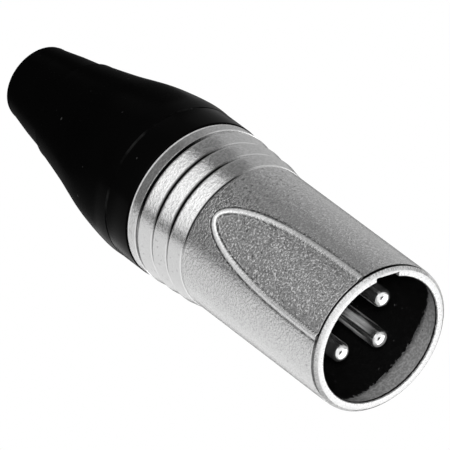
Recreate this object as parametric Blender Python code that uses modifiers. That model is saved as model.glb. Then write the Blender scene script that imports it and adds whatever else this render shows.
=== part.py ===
"""Three-pin male audio cable plug, standing on its mouth.

Metres, +Z up. Z = 0 is the mouth's front face and +Z runs back to the cable end.
The origin is the centre of the mouth. -Y is the side of the shell that carries the arch.
"""

import math

import bmesh
import bpy
from mathutils import Matrix

MM = 0.001

# Roundness of the turned pieces
SHELL_SIDES = 64
INNER_SIDES = 40
PIN_SIDES = 20

# Clearances
FIT_GAP = 0.10 * MM  # a fixed piece in its bore
SLIDE_GAP = 0.20 * MM  # a piece that slides or turns in its bore
SEAT_GAP = 0.25 * MM  # two faces that meet along the axis

# Shell: mouth and barrel
SHELL_RADIUS = 9.5 * MM
MOUTH_WALL = 1.3 * MM
MOUTH_DEPTH = 15.8 * MM  # from the mouth to the insert's face
RIM_CHAMFER = 0.45 * MM
RIM_GROOVE_START = 0.5 * MM
RIM_GROOVE_WIDTH = 0.4 * MM
RIM_GROOVE_DEPTH = 0.35 * MM
SHOULDER_STEP = 0.4 * MM  # the body bore is this much wider than the mouth
THREAD_RELIEF = 0.2 * MM  # and the threaded end this much wider again

# Shell: the three raised bands and the lip at the cable end
BAND_COUNT = 3
BAND_PITCH = 2.7 * MM
BAND_FRONT_STEP = 0.05 * MM  # height of the first band's front edge over the barrel
BAND_RISE = 0.4 * MM  # each band climbs this much towards the cable
BAND_CLIMB = 0.15 * MM  # and each starts this much higher than the one before
BAND_GROOVE_WIDTH = 0.45 * MM
BAND_GROOVE_DEPTH = 0.25 * MM
LIP_LENGTH = 1.7 * MM
LIP_CHAMFER = 0.25 * MM

# Shell: the arch, a raised ridge round a sunk field that is open to the mouth
ARCH_HALF_WIDTH = 4.6 * MM
ARCH_LENGTH = 23.8 * MM
ARCH_RIDGE_WIDTH = 0.85 * MM
ARCH_RIDGE_HEIGHT = 0.12 * MM
ARCH_FIELD_DEPTH = 0.22 * MM
ARCH_STEPS = 14

# Shell: the keyway for the socket's rib, the latch pocket and the insert's groove
KEYWAY_ANGLE = math.radians(-42)  # from +X
KEYWAY_WIDTH = 3.3 * MM
KEYWAY_DEPTH = 0.5 * MM
KEYWAY_LENGTH = 13.5 * MM
LATCH_WIDTH = 4.6 * MM
LATCH_LENGTH = 3.2 * MM
LATCH_SETBACK = 4.6 * MM
LATCH_DEPTH = 0.4 * MM
RIB_WIDTH = 2.0 * MM
RIB_HEIGHT = 0.3 * MM

# Insert and contacts
NOSE_LENGTH = 2.2 * MM  # the part of the insert that reaches into the mouth
INSERT_LENGTH = 8.6 * MM  # behind the shoulder
INSERT_WAIST = 1.3 * MM  # depth of the relief behind the insert's flange
FLANGE_LENGTH = 5.2 * MM
PIN_SETBACK = 4.24 * MM  # from the mouth's wall to a pin's centre
PIN_RADIUS = 1.2 * MM
PIN_REACH = 12.6 * MM  # in front of the insert
CUP_RADIUS = 1.45 * MM
CUP_BORE = 0.95 * MM
CUP_LENGTH = 3.6 * MM
CUP_BORE_DEPTH = 3.0 * MM
CONTACT_POCKET = 2.4 * MM  # how deep the cups are sunk in the insert's back

# Chuck, the split collar that grips the cable
CHUCK_FLANGE_LENGTH = 3.4 * MM
CHUCK_BARREL_LENGTH = 9.5 * MM
CHUCK_FINGER_LENGTH = 11.0 * MM
CHUCK_WALL = 1.25 * MM
CHUCK_TIP_WALL = 1.1 * MM
CHUCK_SLOT_WIDTH = 1.6 * MM
CHUCK_SLOTS = 4
CHUCK_TOOTH_PITCH = 1.5 * MM
CHUCK_TOOTH_DEPTH = 0.35 * MM
CHUCK_TEETH = 4

# Bushing, the screwed nut that closes the chuck
THREAD_LENGTH = 5.0 * MM
SPIGOT_WALL = 1.15 * MM
COLLAR_LENGTH = 3.9 * MM
COLLAR_STEP = 0.1 * MM  # the collar stands this much over the shell's lip
NECK_WALL = 1.1 * MM
NECK_END_LENGTH = 5.0 * MM  # behind the chuck's tips
SNAP_GROOVE_DEPTH = 0.35 * MM
SNAP_GROOVE_LENGTH = 2.0 * MM
SNAP_GROOVE_SETBACK = 2.0 * MM

# Boot, the soft sleeve, and the cable's way through
CABLE_RADIUS = 4.1 * MM
BOOT_SLEEVE_LENGTH = 27.8 * MM
BOOT_STEP_HEIGHT = 0.22 * MM
BOOT_STEP_SETBACK = 8.6 * MM  # from the boot's cable end
BOOT_END_WALL = 0.85 * MM
BOOT_STEP_WALL = 2.4 * MM  # just behind the step
BOOT_WAIST_DROP = 2.4 * MM  # under the collar's radius
BOOT_SHOULDER_DROP = 0.85 * MM
BOOT_WAIST = 0.50  # share of the boot's length from its front edge
BOOT_SHOULDER = 0.29
BOOT_EDGE_ROUND = 0.5 * MM
CURVE_STEPS = 3

# Places along the axis, each from the one before
FACE_Z = MOUTH_DEPTH
SHOULDER_Z = FACE_Z + NOSE_LENGTH
FLANGE_Z = SHOULDER_Z + SEAT_GAP
INSERT_END_Z = FLANGE_Z + INSERT_LENGTH
CHUCK_Z = INSERT_END_Z + SEAT_GAP
CHUCK_FLANGE_END_Z = CHUCK_Z + CHUCK_FLANGE_LENGTH
SPIGOT_Z = CHUCK_FLANGE_END_Z + SEAT_GAP
SHELL_END_Z = SPIGOT_Z + THREAD_LENGTH
COLLAR_Z = SHELL_END_Z + SEAT_GAP
COLLAR_END_Z = COLLAR_Z + COLLAR_LENGTH
CONE_Z = CHUCK_FLANGE_END_Z + CHUCK_BARREL_LENGTH
CHUCK_TIP_Z = CONE_Z + CHUCK_FINGER_LENGTH
NECK_END_Z = CHUCK_TIP_Z + NECK_END_LENGTH
BOOT_Z = COLLAR_END_Z + SEAT_GAP
BOOT_END_Z = BOOT_Z + BOOT_SLEEVE_LENGTH

# Radii that follow from their neighbours
MOUTH_RADIUS = SHELL_RADIUS - MOUTH_WALL
PIN_CIRCLE_RADIUS = MOUTH_RADIUS - PIN_SETBACK
LIP_RADIUS = SHELL_RADIUS + BAND_FRONT_STEP + BAND_RISE + (BAND_COUNT - 1) * BAND_CLIMB
COLLAR_RADIUS = LIP_RADIUS + COLLAR_STEP
BODY_BORE = MOUTH_RADIUS + SHOULDER_STEP
THREAD_BORE = BODY_BORE + THREAD_RELIEF
SPIGOT_RADIUS = THREAD_BORE - SLIDE_GAP
BUSHING_BORE = SPIGOT_RADIUS - SPIGOT_WALL
CHUCK_RADIUS = BUSHING_BORE - SLIDE_GAP
CHUCK_MOUTH_RADIUS = CHUCK_RADIUS - CHUCK_WALL
CHUCK_TIP_RADIUS = CABLE_RADIUS + CHUCK_TIP_WALL
BOOT_END_RADIUS = CABLE_RADIUS + BOOT_END_WALL
BOOT_STEP_RADIUS = CABLE_RADIUS + BOOT_STEP_WALL
BOOT_WAIST_RADIUS = COLLAR_RADIUS - BOOT_WAIST_DROP
BOOT_SHOULDER_RADIUS = COLLAR_RADIUS - BOOT_SHOULDER_DROP
PIN_PLACES = {
    "pin_1": (-PIN_CIRCLE_RADIUS, 0.0),
    "pin_2": (PIN_CIRCLE_RADIUS, 0.0),
    "pin_3": (0.0, PIN_CIRCLE_RADIUS),
}


def clear_scene():
    for obj in list(bpy.data.objects):
        bpy.data.objects.remove(obj, do_unlink=True)


def new_collection(name):
    collection = bpy.data.collections.new(name)
    bpy.context.scene.collection.children.link(collection)
    return collection


def new_material(name, color, roughness, metallic):
    material = bpy.data.materials.new(name)
    material.use_nodes = True
    shader = material.node_tree.nodes["Principled BSDF"]
    shader.inputs["Base Color"].default_value = (*color, 1.0)
    shader.inputs["Roughness"].default_value = roughness
    shader.inputs["Metallic"].default_value = metallic
    return material


def add_object(name, mesh, collection, material=None):
    obj = bpy.data.objects.new(name, mesh)
    collection.objects.link(obj)
    if material:
        mesh.materials.append(material)
    return obj


def as_cutter(obj):
    obj.hide_render = True
    obj.display_type = "WIRE"
    return obj


def turned(name, profile, sides, collection, material=None):
    """A closed outline of (radius, z) turned about Z. Its outer side runs down, from top to bottom."""
    mesh = bpy.data.meshes.new(name)
    points = [(radius, 0.0, z) for radius, z in profile]
    open_ended = profile[0][0] == 0.0 and profile[-1][0] == 0.0
    edges = [(i, i + 1) for i in range(len(points) - 1)]
    if not open_ended:
        edges.append((len(points) - 1, 0))
    mesh.from_pydata(points, edges, [])
    obj = add_object(name, mesh, collection, material)
    screw = obj.modifiers.new("turn", "SCREW")
    screw.axis = "Z"
    screw.angle = math.tau
    screw.steps = sides
    screw.render_steps = sides
    screw.use_merge_vertices = True
    screw.merge_threshold = 1e-6
    screw.use_smooth_shade = True
    return obj


def block(name, size, centre, collection, turn=0.0):
    """A box of this size, its centre placed and then turned about Z."""
    place = Matrix.Rotation(turn, 4, "Z") @ Matrix.Translation(centre) @ Matrix.Diagonal((*size, 1.0))
    box = bmesh.new()
    bmesh.ops.create_cube(box, size=1.0, matrix=place)
    mesh = bpy.data.meshes.new(name)
    box.to_mesh(mesh)
    box.free()
    return add_object(name, mesh, collection)


def combine(obj, operation, other):
    modifier = obj.modifiers.new(other.name, "BOOLEAN")
    modifier.operation = operation
    modifier.object = other
    return modifier


def arc(centre_radius, centre_z, radius, start, end, steps):
    """Points of a round edge in the (radius, z) plane."""
    points = []
    for i in range(steps + 1):
        angle = math.radians(start + (end - start) * i / steps)
        points.append((centre_radius + radius * math.cos(angle), centre_z + radius * math.sin(angle)))
    return points


def smooth_curve(knots, steps):
    """A curve through the knots, with points between each two of them."""
    points = []
    for i in range(len(knots) - 1):
        before = knots[max(i - 1, 0)]
        first, second = knots[i], knots[i + 1]
        after = knots[min(i + 2, len(knots) - 1)]
        for step in range(steps):
            t = step / steps
            point = []
            for a, b, c, d in zip(before, first, second, after):
                point.append(
                    0.5 * (2 * b + (c - a) * t + (2 * a - 5 * b + 4 * c - d) * t**2)
                    + 0.5 * (3 * b - a - 3 * c + d) * t**3
                )
            points.append(tuple(point))
    points.append(tuple(knots[-1]))
    return points


def band_profile():
    """The bands' outer side from the barrel to the lip's edge, front to back."""
    front_z = SHELL_END_Z - LIP_LENGTH - BAND_COUNT * BAND_PITCH
    points = []
    for i in range(BAND_COUNT):
        start_z = front_z + i * BAND_PITCH
        end_z = start_z + BAND_PITCH - BAND_GROOVE_WIDTH
        start = SHELL_RADIUS + BAND_FRONT_STEP + i * BAND_CLIMB
        top = start + BAND_RISE
        floor = top - BAND_RISE - BAND_GROOVE_DEPTH + BAND_CLIMB
        points += [(start, start_z), (top, end_z), (floor, end_z), (floor, start_z + BAND_PITCH)]
    points += [(LIP_RADIUS, SHELL_END_Z - LIP_LENGTH), (LIP_RADIUS, SHELL_END_Z - LIP_CHAMFER)]
    points += [(LIP_RADIUS - LIP_CHAMFER, SHELL_END_Z)]
    return points


def arch_outline(inset):
    """Half-widths and places of the arch, from its open front to its crown, moved in by inset."""
    half_width = ARCH_HALF_WIDTH - inset
    length = ARCH_LENGTH - inset
    side = []
    for i in range(ARCH_STEPS + 1):
        angle = math.pi / 2 * i / ARCH_STEPS
        side.append((half_width * math.cos(angle), length * math.sin(angle) ** (2 / 3)))
    return side


def arch_block(name, inset, front_z, collection):
    """The arch's outline as a solid that stands on the -Y side of the barrel."""
    side = [(x, z) for x, z in arch_outline(inset) if z > front_z]
    front_width = (ARCH_HALF_WIDTH - inset) * math.sqrt(1 - (front_z / (ARCH_LENGTH - inset)) ** 3)
    side.insert(0, (front_width, front_z))
    outline = side + [(-x, z) for x, z in reversed(side[:-1])]
    near, far = -2 * SHELL_RADIUS, -SHELL_RADIUS / 2
    slab = bmesh.new()
    face = slab.faces.new([slab.verts.new((x, near, z)) for x, z in outline])
    grown = bmesh.ops.extrude_face_region(slab, geom=[face])["geom"]
    corners = [item for item in grown if isinstance(item, bmesh.types.BMVert)]
    bmesh.ops.translate(slab, verts=corners, vec=(0.0, far - near, 0.0))
    bmesh.ops.recalc_face_normals(slab, faces=slab.faces)
    mesh = bpy.data.meshes.new(name)
    slab.to_mesh(mesh)
    slab.free()
    return as_cutter(add_object(name, mesh, collection))


def make_shell(parts, cutters, material):
    groove_end = RIM_GROOVE_START + RIM_GROOVE_WIDTH
    groove_floor = SHELL_RADIUS - RIM_GROOVE_DEPTH
    outside = [(SHELL_RADIUS - RIM_CHAMFER, 0.0), (SHELL_RADIUS, RIM_GROOVE_START)]
    outside += [(groove_floor, RIM_GROOVE_START), (groove_floor, groove_end), (SHELL_RADIUS, groove_end)]
    front_z = SHELL_END_Z - LIP_LENGTH - BAND_COUNT * BAND_PITCH
    outside += [(SHELL_RADIUS, front_z)] + band_profile()
    thread_z = SPIGOT_Z - CHUCK_FLANGE_LENGTH / 2
    inside = [(MOUTH_RADIUS, 0.0), (MOUTH_RADIUS, SHOULDER_Z), (BODY_BORE, SHOULDER_Z)]
    inside += [(BODY_BORE, thread_z), (THREAD_BORE, thread_z), (THREAD_BORE, SHELL_END_Z)]
    shell = turned("shell", outside[::-1] + inside, SHELL_SIDES, parts, material)

    pad_z = groove_end + FIT_GAP / 2
    pad = arch_block("arch_pad", 0.0, pad_z, cutters)
    pad_sleeve = [(SHELL_RADIUS + ARCH_RIDGE_HEIGHT, ARCH_LENGTH * 1.1), (SHELL_RADIUS + ARCH_RIDGE_HEIGHT, 0.0)]
    pad_sleeve += [(groove_floor, 0.0), (groove_floor, ARCH_LENGTH * 1.1)]
    sleeve = as_cutter(turned("arch_pad_sleeve", pad_sleeve, SHELL_SIDES, cutters))
    combine(pad, "INTERSECT", sleeve)
    combine(shell, "UNION", pad)

    field = arch_block("arch_field", ARCH_RIDGE_WIDTH, RIM_GROOVE_START + RIM_GROOVE_WIDTH / 2, cutters)
    floor = SHELL_RADIUS - ARCH_FIELD_DEPTH
    field_sleeve = [(1.5 * SHELL_RADIUS, ARCH_LENGTH * 1.1), (1.5 * SHELL_RADIUS, 0.0), (floor, 0.0)]
    field_sleeve += [(floor, ARCH_LENGTH * 1.1)]
    combine(field, "INTERSECT", as_cutter(turned("arch_field_sleeve", field_sleeve, SHELL_SIDES, cutters)))
    combine(shell, "DIFFERENCE", field)

    reach = MOUTH_RADIUS + KEYWAY_DEPTH
    keyway = block(
        "keyway",
        (reach / 2, KEYWAY_WIDTH, KEYWAY_LENGTH * 2),
        (reach * 3 / 4, 0.0, 0.0),
        cutters,
        KEYWAY_ANGLE,
    )
    combine(shell, "DIFFERENCE", as_cutter(keyway))

    reach = MOUTH_RADIUS + LATCH_DEPTH
    latch = block(
        "latch_pocket",
        (LATCH_WIDTH, reach / 2, LATCH_LENGTH),
        (0.0, -reach * 3 / 4, LATCH_SETBACK + LATCH_LENGTH / 2),
        cutters,
    )
    combine(shell, "DIFFERENCE", as_cutter(latch))

    reach = BODY_BORE + RIB_HEIGHT
    groove_z = SHOULDER_Z + SEAT_GAP / 2
    groove = block(
        "rib_groove",
        (reach / 2, RIB_WIDTH + 2 * SLIDE_GAP, (SHELL_END_Z - groove_z) * 2),
        (reach * 3 / 4, 0.0, SHELL_END_Z),
        cutters,
    )
    combine(shell, "DIFFERENCE", as_cutter(groove))
    return shell


def rib(name, radius, start_z, end_z, cutters):
    """A key on a piece's side that runs in the shell's groove."""
    height = RIB_HEIGHT - SLIDE_GAP
    depth = BODY_BORE - radius + height + RIB_WIDTH / 2
    centre = (BODY_BORE + height - depth / 2, 0.0, (start_z + end_z) / 2)
    inset = (end_z - start_z) / 8
    return as_cutter(block(name, (depth, RIB_WIDTH, end_z - start_z - inset), centre, cutters))


def make_insert(parts, cutters, material):
    flange_end = FLANGE_Z + FLANGE_LENGTH
    nose = MOUTH_RADIUS - FIT_GAP
    flange = BODY_BORE - FIT_GAP
    waist = flange - INSERT_WAIST
    outline = [(0.0, INSERT_END_Z), (waist, INSERT_END_Z), (waist, flange_end), (flange, flange_end)]
    outline += [(flange, FLANGE_Z), (nose, FLANGE_Z), (nose, FACE_Z + FIT_GAP), (nose - FIT_GAP, FACE_Z)]
    outline += [(0.0, FACE_Z)]
    insert = turned("insert", outline, INNER_SIDES, parts, material)
    combine(insert, "UNION", rib("insert_rib", flange, FLANGE_Z, flange_end, cutters))
    for name, (x, y) in PIN_PLACES.items():
        bore = [(0.0, INSERT_END_Z + CONTACT_POCKET), (CUP_RADIUS + FIT_GAP, INSERT_END_Z + CONTACT_POCKET)]
        bore += [(CUP_RADIUS + FIT_GAP, INSERT_END_Z - CONTACT_POCKET)]
        bore += [(PIN_RADIUS + FIT_GAP, INSERT_END_Z - CONTACT_POCKET), (PIN_RADIUS + FIT_GAP, FACE_Z / 2)]
        bore += [(0.0, FACE_Z / 2)]
        hole = as_cutter(turned(name + "_bore", bore, PIN_SIDES, cutters))
        hole.location = (x, y, 0.0)
        combine(insert, "DIFFERENCE", hole)
    return insert


def make_pin(name, place, parts, cutters, material):
    """A turned contact: round tip, shaft, and a solder cup that is open to the outside."""
    tip_z = FACE_Z - PIN_REACH
    cup_end = INSERT_END_Z + CUP_LENGTH
    cup_floor = cup_end - CUP_BORE_DEPTH
    neck_z = INSERT_END_Z - CONTACT_POCKET + SEAT_GAP
    outline = [(0.0, cup_floor), (CUP_BORE, cup_floor), (CUP_BORE, cup_end), (CUP_RADIUS, cup_end)]
    outline += [(CUP_RADIUS, neck_z), (PIN_RADIUS, neck_z)]
    outline += arc(0.0, tip_z + PIN_RADIUS, PIN_RADIUS, 0, -90, 5)[:-1]
    outline += [(0.0, tip_z)]
    pin = turned(name, outline, PIN_SIDES, parts, material)
    pin.location = (*place, 0.0)
    outward = math.atan2(place[1], place[0])
    opening = block(
        name + "_cup_opening",
        (CUP_RADIUS * 2, CUP_RADIUS * 4, CUP_BORE_DEPTH),
        (CUP_RADIUS * 1.25, 0.0, 0.0),
        cutters,
        outward,
    )
    opening.location = (*place, cup_end)
    combine(pin, "DIFFERENCE", as_cutter(opening))
    return pin


def make_chuck(parts, cutters, material):
    """A keyed flange, a barrel and tapered fingers with teeth inside."""
    flange = BODY_BORE - SLIDE_GAP
    outline = [(CHUCK_TIP_RADIUS, CHUCK_TIP_Z), (CHUCK_RADIUS, CONE_Z), (CHUCK_RADIUS, CHUCK_FLANGE_END_Z)]
    outline += [(flange, CHUCK_FLANGE_END_Z), (flange, CHUCK_Z), (CHUCK_MOUTH_RADIUS, CHUCK_Z)]
    outline += [(CHUCK_MOUTH_RADIUS, CONE_Z - CHUCK_BARREL_LENGTH / 4)]
    teeth_z = CHUCK_TIP_Z - CHUCK_TEETH * CHUCK_TOOTH_PITCH
    relief = CABLE_RADIUS + CHUCK_TOOTH_DEPTH
    outline += [(relief, CONE_Z), (relief, teeth_z)]
    for i in range(CHUCK_TEETH):
        start_z = teeth_z + i * CHUCK_TOOTH_PITCH
        outline += [(CABLE_RADIUS, start_z + CHUCK_TOOTH_PITCH / 3)]
        outline += [(CABLE_RADIUS, start_z + CHUCK_TOOTH_PITCH * 2 / 3)]
        if i < CHUCK_TEETH - 1:
            outline += [(relief, start_z + CHUCK_TOOTH_PITCH)]
    outline += [(CABLE_RADIUS, CHUCK_TIP_Z)]
    chuck = turned("chuck", outline, INNER_SIDES, parts, material)
    combine(chuck, "UNION", rib("chuck_rib", flange, CHUCK_Z, CHUCK_FLANGE_END_Z, cutters))
    slot_start = CONE_Z - CHUCK_BARREL_LENGTH / 2
    for i in range(CHUCK_SLOTS // 2):
        slot = block(
            f"chuck_slot_{i + 1}",
            (CHUCK_RADIUS * 3, CHUCK_SLOT_WIDTH, (CHUCK_TIP_Z - slot_start) * 2),
            (0.0, 0.0, CHUCK_TIP_Z),
            cutters,
            math.radians(45) + math.pi * 2 * i / CHUCK_SLOTS,
        )
        combine(chuck, "DIFFERENCE", as_cutter(slot))
    return chuck


def neck_profile(gap, play):
    """The bushing's neck behind its collar, back to front, or the boot's inside with a gap round it."""
    front = BUSHING_BORE + NECK_WALL + gap
    tip = CHUCK_TIP_RADIUS + SLIDE_GAP + NECK_WALL + gap
    end = CABLE_RADIUS + NECK_WALL + gap
    floor = front - SNAP_GROOVE_DEPTH
    groove_start = COLLAR_END_Z + SNAP_GROOVE_SETBACK + play
    groove_end = COLLAR_END_Z + SNAP_GROOVE_SETBACK + SNAP_GROOVE_LENGTH - play
    taper_z = COLLAR_END_Z + 2 * SNAP_GROOVE_SETBACK + SNAP_GROOVE_LENGTH
    return [
        (end, NECK_END_Z + play),
        (tip, CHUCK_TIP_Z),
        (front, taper_z),
        (front, groove_end),
        (floor, groove_end),
        (floor, groove_start),
        (front, groove_start),
    ]


def make_bushing(parts, material):
    """A threaded spigot, a collar that meets the shell, and a tapered neck that closes the chuck."""
    outline = neck_profile(0.0, 0.0) + [(BUSHING_BORE + NECK_WALL, COLLAR_END_Z), (COLLAR_RADIUS, COLLAR_END_Z)]
    outline += [(COLLAR_RADIUS - LIP_CHAMFER / 2, COLLAR_Z), (SPIGOT_RADIUS, COLLAR_Z)]
    outline += [(SPIGOT_RADIUS, SPIGOT_Z + LIP_CHAMFER), (SPIGOT_RADIUS - LIP_CHAMFER, SPIGOT_Z)]
    outline += [(BUSHING_BORE, SPIGOT_Z), (BUSHING_BORE, CONE_Z)]
    outline += [(CHUCK_TIP_RADIUS + SLIDE_GAP, CHUCK_TIP_Z), (CHUCK_TIP_RADIUS + SLIDE_GAP, CHUCK_TIP_Z + SEAT_GAP)]
    outline += [(CABLE_RADIUS, CHUCK_TIP_Z + SEAT_GAP), (CABLE_RADIUS, NECK_END_Z)]
    return turned("bushing", outline, SHELL_SIDES, parts, material)


def boot_outside():
    """The boot's outer side from its front edge to its cable end, as (radius, z)."""
    step_z = BOOT_END_Z - BOOT_STEP_SETBACK
    body = [
        (COLLAR_RADIUS, BOOT_Z),
        (COLLAR_RADIUS, BOOT_Z + BOOT_SLEEVE_LENGTH * BOOT_SHOULDER / 3),
        (BOOT_SHOULDER_RADIUS, BOOT_Z + BOOT_SLEEVE_LENGTH * BOOT_SHOULDER),
        (BOOT_WAIST_RADIUS, BOOT_Z + BOOT_SLEEVE_LENGTH * BOOT_WAIST),
        (BOOT_STEP_RADIUS + BOOT_STEP_HEIGHT, step_z),
    ]
    tail = [(BOOT_STEP_RADIUS, step_z + BOOT_STEP_HEIGHT)]
    edge = arc(BOOT_END_RADIUS - BOOT_EDGE_ROUND, BOOT_END_Z - BOOT_EDGE_ROUND, BOOT_EDGE_ROUND, 15, 90, 3)
    return smooth_curve(body, CURVE_STEPS) + tail + edge


def make_boot(parts, material):
    """A soft sleeve that snaps over the bushing's neck and narrows to the cable."""
    inside = neck_profile(SLIDE_GAP, SEAT_GAP) + [(BUSHING_BORE + NECK_WALL + SLIDE_GAP, BOOT_Z)]
    bore = [(CABLE_RADIUS, BOOT_END_Z), (CABLE_RADIUS, NECK_END_Z + SEAT_GAP)]
    outline = boot_outside()[::-1] + inside[::-1] + bore[::-1]
    return turned("boot", outline, SHELL_SIDES, parts, material)


def main():
    clear_scene()
    parts = new_collection("audio_plug")
    cutters = new_collection("cutters")
    nickel = new_material("satin_nickel", (0.62, 0.62, 0.62), 0.35, 1.0)
    silver = new_material("bright_contact", (0.85, 0.85, 0.84), 0.15, 1.0)
    black_plastic = new_material("black_plastic", (0.012, 0.012, 0.012), 0.45, 0.0)
    black_rubber = new_material("black_rubber", (0.015, 0.015, 0.015), 0.6, 0.0)
    make_shell(parts, cutters, nickel)
    make_insert(parts, cutters, black_plastic)
    for name, place in PIN_PLACES.items():
        make_pin(name, place, parts, cutters, silver)
    make_chuck(parts, cutters, black_plastic)
    make_bushing(parts, black_plastic)
    make_boot(parts, black_rubber)


main()
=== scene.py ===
# Looks of the three-pin audio plug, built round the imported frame
import math

import bpy
from mathutils import Matrix, Vector, kdtree


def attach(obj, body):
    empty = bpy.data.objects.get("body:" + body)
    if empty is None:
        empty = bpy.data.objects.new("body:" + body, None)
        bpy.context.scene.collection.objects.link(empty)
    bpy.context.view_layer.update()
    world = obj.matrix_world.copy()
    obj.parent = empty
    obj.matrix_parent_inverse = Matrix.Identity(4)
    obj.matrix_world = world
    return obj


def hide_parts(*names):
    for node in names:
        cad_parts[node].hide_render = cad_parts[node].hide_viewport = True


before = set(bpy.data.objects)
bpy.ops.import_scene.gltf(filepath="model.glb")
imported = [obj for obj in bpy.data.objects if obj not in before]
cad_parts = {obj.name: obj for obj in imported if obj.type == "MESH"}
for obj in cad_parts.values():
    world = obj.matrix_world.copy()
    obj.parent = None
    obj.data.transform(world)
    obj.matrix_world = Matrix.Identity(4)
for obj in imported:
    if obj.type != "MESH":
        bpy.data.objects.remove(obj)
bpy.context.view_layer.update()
mm = 0.001
print("frame loaded:", ", ".join(sorted(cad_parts)))

# Camera: the mouth points towards the lens

camera = {
    "tilt": 48.0,  # degrees between the plug's axis and the line of sight
    "roll": 37.0,
    "distance": 1.0,
    "clip": (0.05, 20),
    "pixelsPerMm": 8.48,
    "imageSide": 450,
    "sensor": 36.0,
    "middle": (0, 0, 0.034),
    "middleInImage": (-18.9, -16.5),  # pixels from the image's centre, right and down
}


def makeCamera():
    c = camera
    tilt, roll = math.radians(c["tilt"]), math.radians(c["roll"])
    towards = Vector((0, -math.sin(tilt), -math.cos(tilt)))
    right = Vector((math.sin(roll), math.cos(roll) * math.cos(tilt), -math.cos(roll) * math.sin(tilt)))
    up = towards.cross(right)
    dx, dy = (value / c["pixelsPerMm"] * mm for value in c["middleInImage"])
    aim = Vector(c["middle"]) - right * dx + up * dy
    stand = Matrix((right, up, towards)).transposed().to_4x4()
    stand.translation = aim + towards * c["distance"]
    data = bpy.data.cameras.new("photoCamera")
    data.sensor_width = c["sensor"]
    data.lens = c["pixelsPerMm"] * c["distance"] / mm * c["sensor"] / c["imageSide"]
    data.clip_start, data.clip_end = c["clip"]
    data.dof.use_dof = False
    obj = bpy.data.objects.new("photoCamera", data)
    bpy.context.scene.collection.objects.link(obj)
    obj.matrix_world = stand
    bpy.context.scene.camera = obj


makeCamera()
print("camera placed")

# Shader maths


class Socket:  # a shader socket that takes part in sums
    def __init__(self, tree, output=None):
        self.tree, self.output = tree, output

    def make(self, kind, settings=None, inputs=None, output=0):  # any node, settings first
        node = self.tree.nodes.new(kind)
        for key, value in (settings or {}).items():
            setattr(node, key, value)
        for key, value in (inputs or {}).items():
            if isinstance(value, Socket):
                self.tree.links.new(value.output, node.inputs[key])
            else:
                node.inputs[key].default_value = value
        return Socket(self.tree, node.outputs[output])

    def sum(self, operation, *values):
        return self.make("ShaderNodeMath", {"operation": operation}, dict(enumerate(values)))

    def __add__(self, other):
        return self.sum("ADD", self, other)

    def __sub__(self, other):
        return self.sum("SUBTRACT", self, other)

    def __mul__(self, other):
        return self.sum("MULTIPLY", self, other)

    def __radd__(self, other):
        return self.sum("ADD", other, self)

    def __rsub__(self, other):
        return self.sum("SUBTRACT", other, self)

    def __rmul__(self, other):
        return self.sum("MULTIPLY", other, self)

    def fade(self, low, high):  # 0 at low, 1 at high, smooth between
        settings = {"interpolation_type": "SMOOTHSTEP"}
        return self.make("ShaderNodeMapRange", settings, {0: self, 1: low, 2: high})

    def mix(self, first, second):  # two greys or colours by this mask
        first, second = (tone if isinstance(tone, Socket) else grey(tone) for tone in (first, second))
        return self.make("ShaderNodeMix", {"data_type": "RGBA"}, {0: self, 6: first, 7: second}, output=2)


def grey(tone):
    return (tone, tone, tone, 1.0)


def newMaterial(name):  # one Principled shader, its tree and a Socket to build with
    material = bpy.data.materials.new(name)
    material.use_nodes = True
    tree = material.node_tree
    return material, tree.nodes["Principled BSDF"], Socket(tree)


def feed(tree, shader, **inputs):
    for key, value in inputs.items():
        target = shader.inputs[key.replace("_", " ")]
        if isinstance(value, Socket):
            tree.links.new(value.output, target)
        else:
            target.default_value = value


def objectPlace(s):
    return s.make("ShaderNodeTexCoord", output=3)


def axis(s, place, index):
    return s.make("ShaderNodeSeparateXYZ", {}, {0: place}, output=index)


def attribute(s, name):
    return s.make("ShaderNodeAttribute", {"attribute_name": name}, output=2)


def noise(s, place, size, detail=2.0, roughness=0.55):  # clouds about this many mm across
    inputs = {"Vector": place, "Scale": 1 / (size * mm), "Detail": detail, "Roughness": roughness}
    return s.make("ShaderNodeTexNoise", {}, inputs)


def bump(s, height, size=1.0):  # a height of 1 stands for this many mm
    return s.make("ShaderNodeBump", {}, {"Height": height, "Strength": 1.0, "Distance": size * mm})


# Stage: a pale floor, soft lamps, and grey cards that only reflections show

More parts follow.
